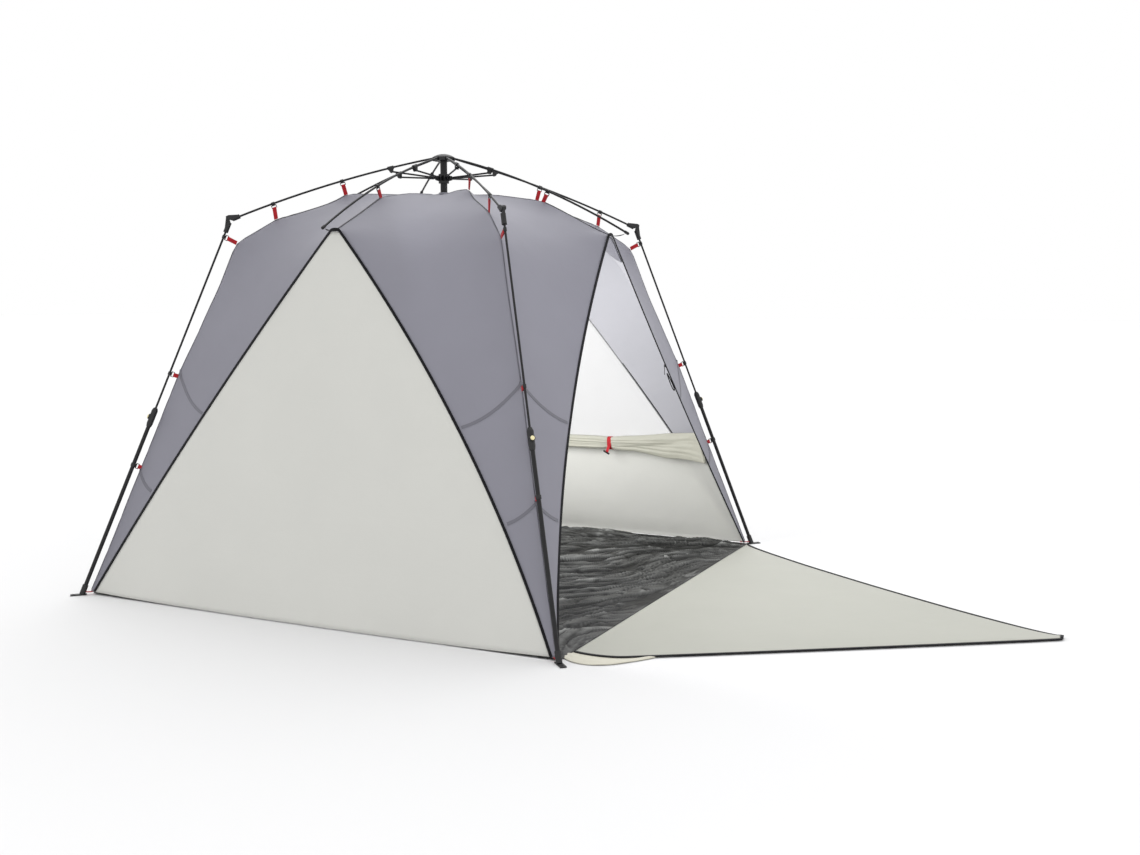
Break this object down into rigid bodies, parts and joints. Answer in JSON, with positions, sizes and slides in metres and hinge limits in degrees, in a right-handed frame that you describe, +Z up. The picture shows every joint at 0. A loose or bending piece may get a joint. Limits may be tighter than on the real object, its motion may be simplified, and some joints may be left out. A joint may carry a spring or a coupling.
{
  "type": "tarp shelter",
  "caption": "Pop-up fabric shelter hung inside a folding umbrella frame with telescopic legs, an open doorway and a door flap laid out in front.",
  "frame": {"origin": "on the ground, under the crown and midway between the four feet", "axes": "+Z up; the open doorway faces -Y; +X is to the right of someone looking in through the doorway"},
  "size_m": [2.382, 3.918, 1.937],
  "materials": {
    "frame_black": "satin black",
    "rod_grey": "satin glass-fibre rod",
    "fitting_black": "matt moulded nylon",
    "button_cream": "matt cream",
    "grey_cloth": "coated polyester",
    "beige_cloth": "coated polyester",
    "mesh_white": "fine mesh",
    "groundsheet_cloth": "coated woven polyethylene",
    "red_webbing": "nylon webbing",
    "black_trim": "binding tape and cord"
  },
  "bodies": {
    "canopy": {"groundsheet": "groundsheet_cloth", "roof_canopy": "grey_cloth", "left_wall": "beige_cloth", "rear_wall": "beige_cloth", "right_wall": "beige_cloth", "window_mesh": "mesh_white", "window_roll": "beige_cloth", "webbing_tabs": "red_webbing", "apex_ties": "black_trim", "roll_toggles": "red_webbing", "zip_sliders": "black_trim", "corner_panel_rear_right": "grey_cloth", "corner_panel_rear_left": "grey_cloth", "corner_panel_front_left": "grey_cloth", "corner_panel_front_right": "grey_cloth"},
    "door": {"front_door": "beige_cloth"},
    "crown": {"crown_hub": "fitting_black", "crown_cap": "fitting_black", "centre_tube": "frame_black"},
    "runner": {"runner": "fitting_black"},
    "rib_rear_right": {"corner_rib_rear_right": "rod_grey", "rib_fittings_rear_right": "fitting_black"},
    "strut_rear_right": {"corner_strut_rear_right": "frame_black"},
    "leg_rear_right": {"leg_rod_rear_right": "frame_black", "knee_socket_rear_right": "fitting_black"},
    "lower_leg_rear_right": {"lower_tube_rear_right": "frame_black", "leg_fittings_rear_right": "fitting_black"},
    "button_rear_right": {"lock_button_rear_right": "button_cream"},
    "rib_rear_left": {"corner_rib_rear_left": "rod_grey", "rib_fittings_rear_left": "fitting_black"},
    "strut_rear_left": {"corner_strut_rear_left": "frame_black"},
    "leg_rear_left": {"leg_rod_rear_left": "frame_black", "knee_socket_rear_left": "fitting_black"},
    "lower_leg_rear_left": {"lower_tube_rear_left": "frame_black", "leg_fittings_rear_left": "fitting_black"},
    "button_rear_left": {"lock_button_rear_left": "button_cream"},
    "rib_front_left": {"corner_rib_front_left": "rod_grey", "rib_fittings_front_left": "fitting_black"},
    "strut_front_left": {"corner_strut_front_left": "frame_black"},
    "leg_front_left": {"leg_rod_front_left": "frame_black", "knee_socket_front_left": "fitting_black"},
    "lower_leg_front_left": {"lower_tube_front_left": "frame_black", "leg_fittings_front_left": "fitting_black"},
    "button_front_left": {"lock_button_front_left": "button_cream"},
    "rib_front_right": {"corner_rib_front_right": "rod_grey", "rib_fittings_front_right": "fitting_black"},
    "strut_front_right": {"corner_strut_front_right": "frame_black"},
    "leg_front_right": {"leg_rod_front_right": "frame_black", "knee_socket_front_right": "fitting_black"},
    "lower_leg_front_right": {"lower_tube_front_right": "frame_black", "leg_fittings_front_right": "fitting_black"},
    "button_front_right": {"lock_button_front_right": "button_cream"},
    "rib_right": {"side_rib_right": "rod_grey"},
    "strut_right": {"side_strut_right": "frame_black"},
    "rib_rear": {"side_rib_rear": "rod_grey"},
    "strut_rear": {"side_strut_rear": "frame_black"},
    "rib_left": {"side_rib_left": "rod_grey"},
    "strut_left": {"side_strut_left": "frame_black"},
    "rib_front": {"side_rib_front": "rod_grey"},
    "strut_front": {"side_strut_front": "frame_black"}
  },
  "joints": [
    {"name": "crown_drop", "type": "slide", "parent": "canopy", "child": "crown", "axis": [0, 0, -1], "range_m": [0, 0.86], "deforming": ["roof_canopy", "left_wall", "rear_wall", "right_wall", "window_mesh", "window_roll", "webbing_tabs", "apex_ties", "roll_toggles", "zip_sliders", "corner_panel_rear_right", "corner_panel_rear_left", "corner_panel_front_left", "corner_panel_front_right"]},
    {"name": "runner_slide", "type": "slide", "parent": "crown", "child": "runner", "axis": [0, 0, -1], "range_m": [0, 0.3307]},
    {"name": "rib_hinge_rear_right", "type": "hinge", "parent": "crown", "child": "rib_rear_right", "pos_m": [0.02828, 0.02828, 1.918], "axis": [-0.7071, 0.7071, 0], "range_deg": [0, 66.05]},
    {"name": "strut_hinge_rear_right", "type": "hinge", "parent": "rib_rear_right", "child": "strut_rear_right", "pos_m": [0.17157, 0.17157, 1.84958], "axis": [0.7071, -0.7071, 0], "range_deg": [0, 143.26]},
    {"name": "knee_hinge_rear_right", "type": "hinge", "parent": "rib_rear_right", "child": "leg_rear_right", "pos_m": [0.68506, 0.68506, 1.62822], "axis": [0.7071, -0.7071, 0], "range_deg": [0, 226.05]},
    {"name": "leg_slide_rear_right", "type": "slide", "parent": "leg_rear_right", "child": "lower_leg_rear_right", "axis": [-0.2703, -0.2703, 0.9241], "range_m": [0, 0.6125]},
    {"name": "button_press_rear_right", "type": "slide", "parent": "lower_leg_rear_right", "child": "button_rear_right", "axis": [-0.6534, -0.6534, -0.3823], "range_m": [0, 0.003], "stiffness_N_per_m": 300, "springref_m": -0.001},
    {"name": "rib_hinge_rear_left", "type": "hinge", "parent": "crown", "child": "rib_rear_left", "pos_m": [-0.02828, 0.02828, 1.918], "axis": [-0.7071, -0.7071, 0], "range_deg": [0, 66.05]},
    {"name": "strut_hinge_rear_left", "type": "hinge", "parent": "rib_rear_left", "child": "strut_rear_left", "pos_m": [-0.17157, 0.17157, 1.84958], "axis": [0.7071, 0.7071, 0], "range_deg": [0, 143.26]},
    {"name": "knee_hinge_rear_left", "type": "hinge", "parent": "rib_rear_left", "child": "leg_rear_left", "pos_m": [-0.68506, 0.68506, 1.62822], "axis": [0.7071, 0.7071, 0], "range_deg": [0, 226.05]},
    {"name": "leg_slide_rear_left", "type": "slide", "parent": "leg_rear_left", "child": "lower_leg_rear_left", "axis": [0.2703, -0.2703, 0.9241], "range_m": [0, 0.6125]},
    {"name": "button_press_rear_left", "type": "slide", "parent": "lower_leg_rear_left", "child": "button_rear_left", "axis": [0.6534, -0.6534, -0.3823], "range_m": [0, 0.003], "stiffness_N_per_m": 300, "springref_m": -0.001},
    {"name": "rib_hinge_front_left", "type": "hinge", "parent": "crown", "child": "rib_front_left", "pos_m": [-0.02828, -0.02828, 1.918], "axis": [0.7071, -0.7071, 0], "range_deg": [0, 66.05]},
    {"name": "strut_hinge_front_left", "type": "hinge", "parent": "rib_front_left", "child": "strut_front_left", "pos_m": [-0.17157, -0.17157, 1.84958], "axis": [-0.7071, 0.7071, 0], "range_deg": [0, 143.26]},
    {"name": "knee_hinge_front_left", "type": "hinge", "parent": "rib_front_left", "child": "leg_front_left", "pos_m": [-0.68506, -0.68506, 1.62822], "axis": [-0.7071, 0.7071, 0], "range_deg": [0, 226.05]},
    {"name": "leg_slide_front_left", "type": "slide", "parent": "leg_front_left", "child": "lower_leg_front_left", "axis": [0.2703, 0.2703, 0.9241], "range_m": [0, 0.6125]},
    {"name": "button_press_front_left", "type": "slide", "parent": "lower_leg_front_left", "child": "button_front_left", "axis": [0.6534, 0.6534, -0.3823], "range_m": [0, 0.003], "stiffness_N_per_m": 300, "springref_m": -0.001},
    {"name": "rib_hinge_front_right", "type": "hinge", "parent": "crown", "child": "rib_front_right", "pos_m": [0.02828, -0.02828, 1.918], "axis": [0.7071, 0.7071, 0], "range_deg": [0, 66.05]},
    {"name": "strut_hinge_front_right", "type": "hinge", "parent": "rib_front_right", "child": "strut_front_right", "pos_m": [0.17157, -0.17157, 1.84958], "axis": [-0.7071, -0.7071, 0], "range_deg": [0, 143.26]},
    {"name": "knee_hinge_front_right", "type": "hinge", "parent": "rib_front_right", "child": "leg_front_right", "pos_m": [0.68506, -0.68506, 1.62822], "axis": [-0.7071, -0.7071, 0], "range_deg": [0, 226.05]},
    {"name": "leg_slide_front_right", "type": "slide", "parent": "leg_front_right", "child": "lower_leg_front_right", "axis": [-0.2703, 0.2703, 0.9241], "range_m": [0, 0.6125]},
    {"name": "button_press_front_right", "type": "slide", "parent": "lower_leg_front_right", "child": "button_front_right", "axis": [-0.6534, 0.6534, -0.3823], "range_m": [0, 0.003], "stiffness_N_per_m": 300, "springref_m": -0.001},
    {"name": "rib_hinge_right", "type": "hinge", "parent": "crown", "child": "rib_right", "pos_m": [0.04, 0, 1.918], "axis": [0, 1, 0], "range_deg": [0, 68.76]},
    {"name": "strut_hinge_right", "type": "hinge", "parent": "rib_right", "child": "strut_right", "pos_m": [0.24047, 0, 1.84204], "axis": [0, -1, 0], "range_deg": [0, 152.89]},
    {"name": "rib_hinge_rear", "type": "hinge", "parent": "crown", "child": "rib_rear", "pos_m": [0, 0.04, 1.918], "axis": [-1, 0, 0], "range_deg": [0, 68.76]},
    {"name": "strut_hinge_rear", "type": "hinge", "parent": "rib_rear", "child": "strut_rear", "pos_m": [0, 0.24047, 1.84204], "axis": [1, 0, 0], "range_deg": [0, 152.89]},
    {"name": "rib_hinge_left", "type": "hinge", "parent": "crown", "child": "rib_left", "pos_m": [-0.04, 0, 1.918], "axis": [0, -1, 0], "range_deg": [0, 68.76]},
    {"name": "strut_hinge_left", "type": "hinge", "parent": "rib_left", "child": "strut_left", "pos_m": [-0.24047, 0, 1.84204], "axis": [0, 1, 0], "range_deg": [0, 152.89]},
    {"name": "rib_hinge_front", "type": "hinge", "parent": "crown", "child": "rib_front", "pos_m": [0, -0.04, 1.918], "axis": [1, 0, 0], "range_deg": [0, 68.76]},
    {"name": "strut_hinge_front", "type": "hinge", "parent": "rib_front", "child": "strut_front", "pos_m": [0, -0.24047, 1.84204], "axis": [-1, 0, 0], "range_deg": [0, 152.89]},
    {"name": "door_lift", "type": "hinge", "parent": "canopy", "child": "door", "pos_m": [0, -1.14, 0.0025], "axis": [-1, 0, 0], "range_deg": [0, 100], "deforming": ["front_door"]}
  ],
  "couplings": [
    {"joint": "runner_slide", "follows": "crown_drop", "ratio": 0.38396},
    {"joint": "rib_hinge_rear_right", "follows": "crown_drop", "rad_per_m": 1.3394},
    {"joint": "strut_hinge_rear_right", "follows": "crown_drop", "rad_per_m": 2.9064},
    {"joint": "knee_hinge_rear_right", "follows": "crown_drop", "rad_per_m": 4.5866},
    {"joint": "leg_slide_rear_right", "follows": "crown_drop", "ratio": 0.71163},
    {"joint": "rib_hinge_rear_left", "follows": "crown_drop", "rad_per_m": 1.3394},
    {"joint": "strut_hinge_rear_left", "follows": "crown_drop", "rad_per_m": 2.9064},
    {"joint": "knee_hinge_rear_left", "follows": "crown_drop", "rad_per_m": 4.5866},
    {"joint": "leg_slide_rear_left", "follows": "crown_drop", "ratio": 0.71163},
    {"joint": "rib_hinge_front_left", "follows": "crown_drop", "rad_per_m": 1.3394},
    {"joint": "strut_hinge_front_left", "follows": "crown_drop", "rad_per_m": 2.9064},
    {"joint": "knee_hinge_front_left", "follows": "crown_drop", "rad_per_m": 4.5866},
    {"joint": "leg_slide_front_left", "follows": "crown_drop", "ratio": 0.71163},
    {"joint": "rib_hinge_front_right", "follows": "crown_drop", "rad_per_m": 1.3394},
    {"joint": "strut_hinge_front_right", "follows": "crown_drop", "rad_per_m": 2.9064},
    {"joint": "knee_hinge_front_right", "follows": "crown_drop", "rad_per_m": 4.5866},
    {"joint": "leg_slide_front_right", "follows": "crown_drop", "ratio": 0.71163},
    {"joint": "rib_hinge_right", "follows": "crown_drop", "rad_per_m": 1.3944},
    {"joint": "strut_hinge_right", "follows": "crown_drop", "rad_per_m": 3.1019},
    {"joint": "rib_hinge_rear", "follows": "crown_drop", "rad_per_m": 1.3944},
    {"joint": "strut_hinge_rear", "follows": "crown_drop", "rad_per_m": 3.1019},
    {"joint": "rib_hinge_left", "follows": "crown_drop", "rad_per_m": 1.3944},
    {"joint": "strut_hinge_left", "follows": "crown_drop", "rad_per_m": 3.1019},
    {"joint": "rib_hinge_front", "follows": "crown_drop", "rad_per_m": 1.3944},
    {"joint": "strut_hinge_front", "follows": "crown_drop", "rad_per_m": 3.1019}
  ]
}
